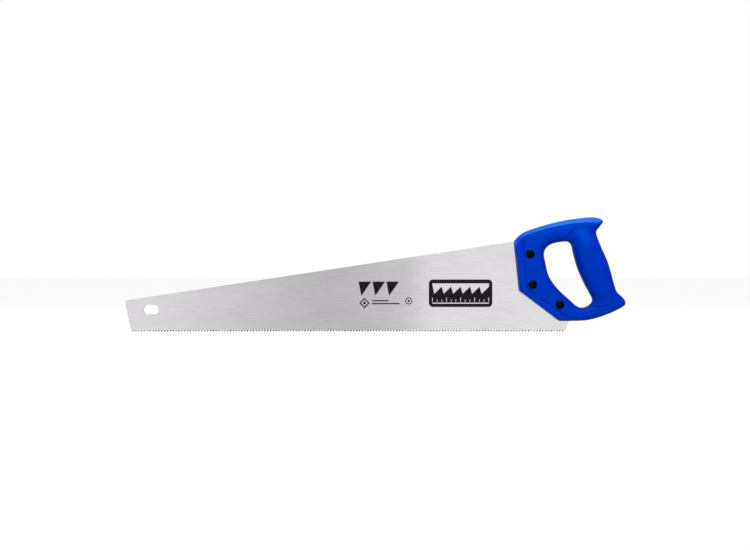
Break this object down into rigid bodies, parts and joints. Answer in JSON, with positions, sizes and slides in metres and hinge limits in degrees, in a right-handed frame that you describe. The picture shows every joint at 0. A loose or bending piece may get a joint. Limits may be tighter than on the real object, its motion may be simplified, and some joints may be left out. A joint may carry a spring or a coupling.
{
  "type": "hand saw",
  "caption": "Panel saw with a tapered toothed steel blade and a closed plastic handle held by domed screws in sleeve nuts.",
  "frame": {"origin": "middle of the hand grip, on the blade's middle plane", "axes": "+X along the tooth line from the toe to the handle, +Z from the teeth towards the blade's back, +Y across the blade towards the sleeve nuts' side"},
  "size_m": [0.6335, 0.029, 0.1453],
  "materials": {
    "blade_steel": "fine brushed grain along the blade, teeth darkened by induction hardening",
    "handle_plastic": "blue injection-moulded plastic, satin with a fine moulded texture",
    "black_steel": "black coated steel, semi-gloss"
  },
  "bodies": {
    "root": {"blade": "blade_steel", "handle": "handle_plastic", "upper_screw": "black_steel", "upper_sleeve_nut": "black_steel", "middle_screw": "black_steel", "middle_sleeve_nut": "black_steel", "lower_screw": "black_steel", "lower_sleeve_nut": "black_steel"}
  },
  "joints": []
}
